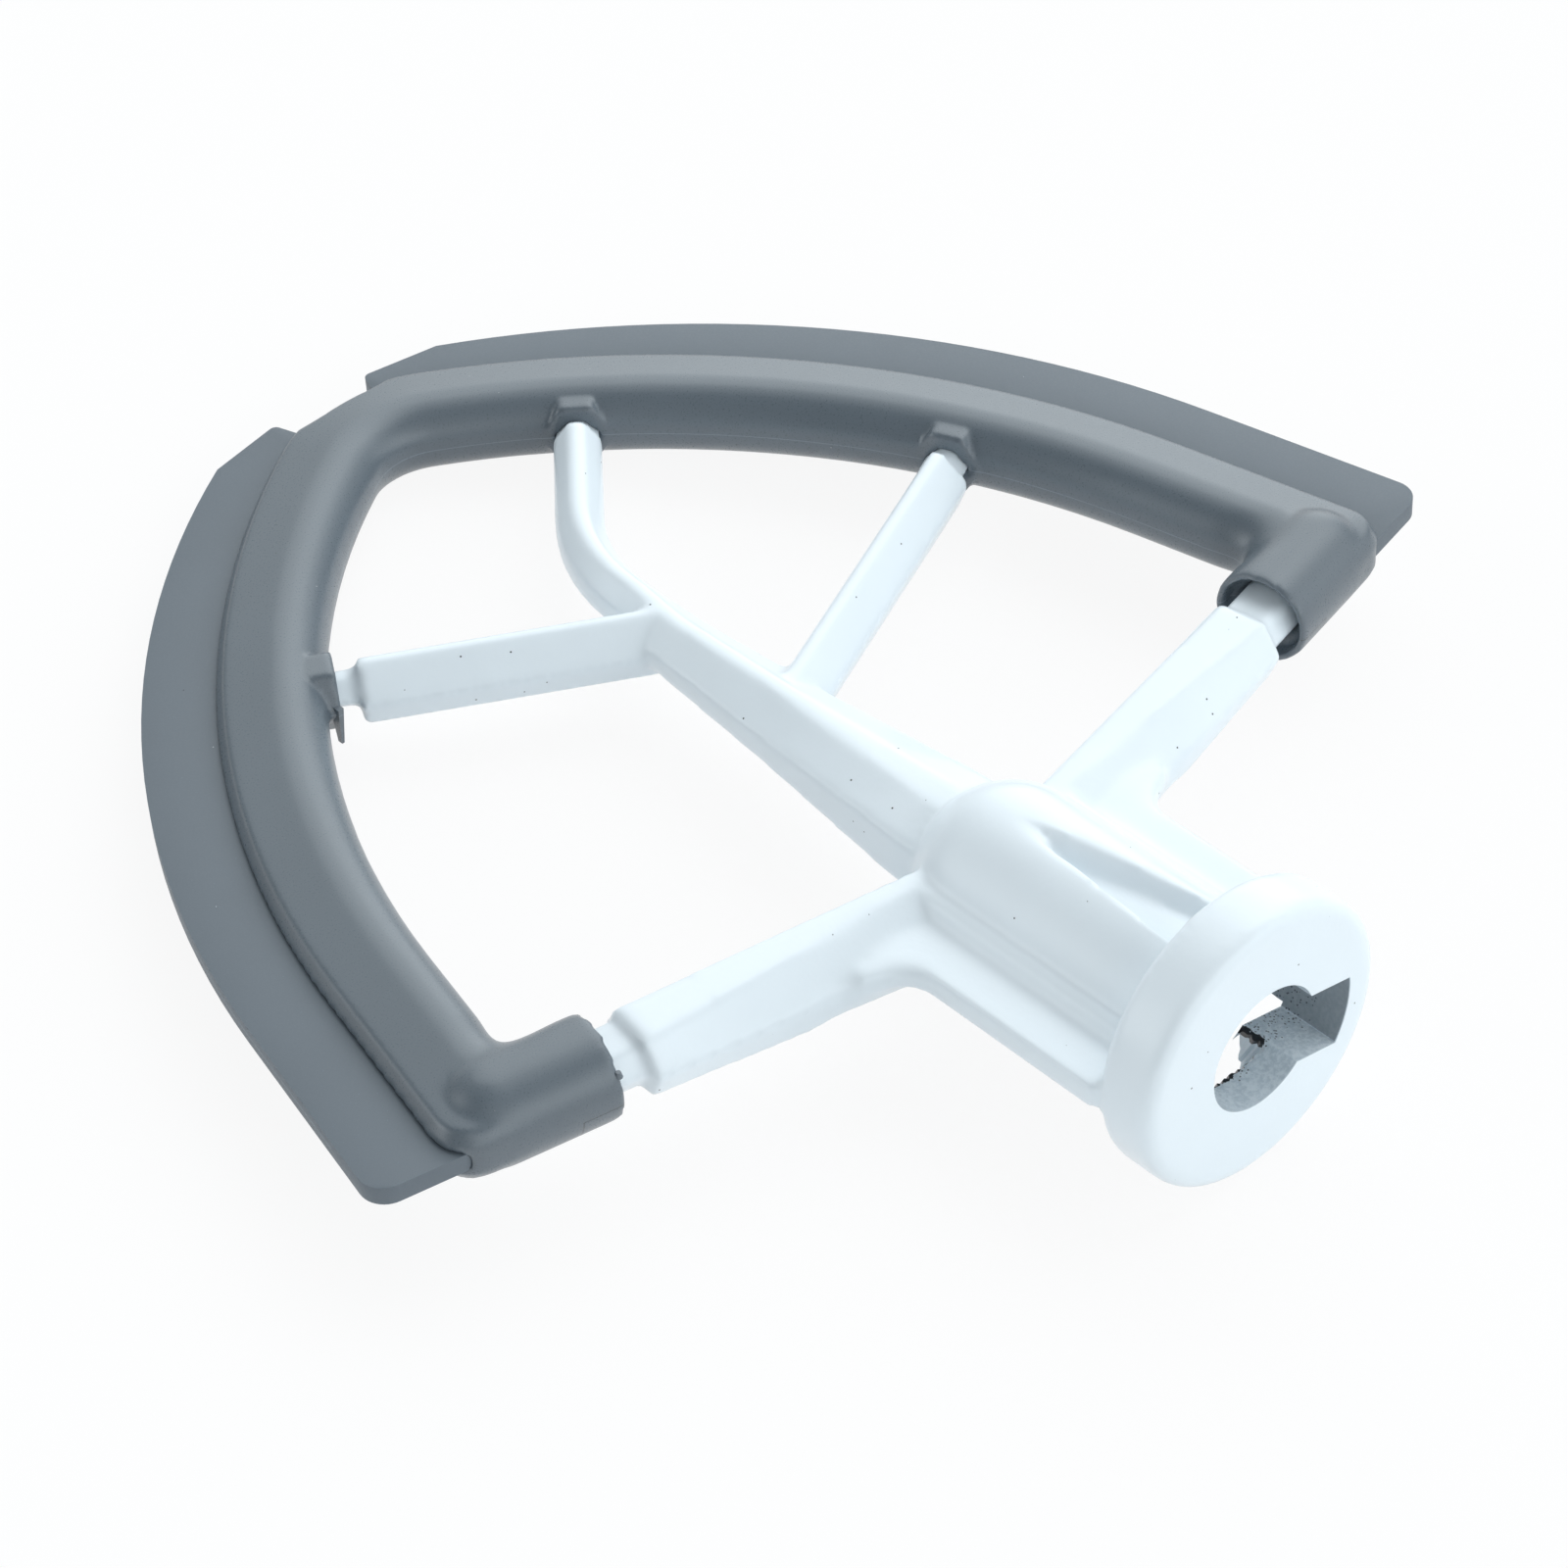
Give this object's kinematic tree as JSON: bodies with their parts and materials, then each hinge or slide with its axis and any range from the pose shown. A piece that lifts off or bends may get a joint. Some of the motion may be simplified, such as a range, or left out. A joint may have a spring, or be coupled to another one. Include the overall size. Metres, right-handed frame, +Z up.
{
  "type": "stand mixer flat beater",
  "caption": "Flat beater for a stand mixer: coated cast core with drive collar, grey overmoulded edge frame and soft wiper blades that scrape the bowl.",
  "frame": {"origin": "centre of the drive bore's mouth, on the face of the collar", "axes": "+Y runs along the drive axis from the collar to the tip, +X to the right across the frame, +Z up from the plane of the frame"},
  "size_m": [0.1406, 0.1394, 0.0308],
  "materials": {
    "white_coating": "smooth satin coating",
    "grey_frame": "fine matt",
    "soft_blade": "matt"
  },
  "bodies": {
    "root": {"cast_core": "white_coating", "edge_frame": "grey_frame", "left_wiper": "soft_blade", "right_wiper": "soft_blade"}
  },
  "joints": []
}
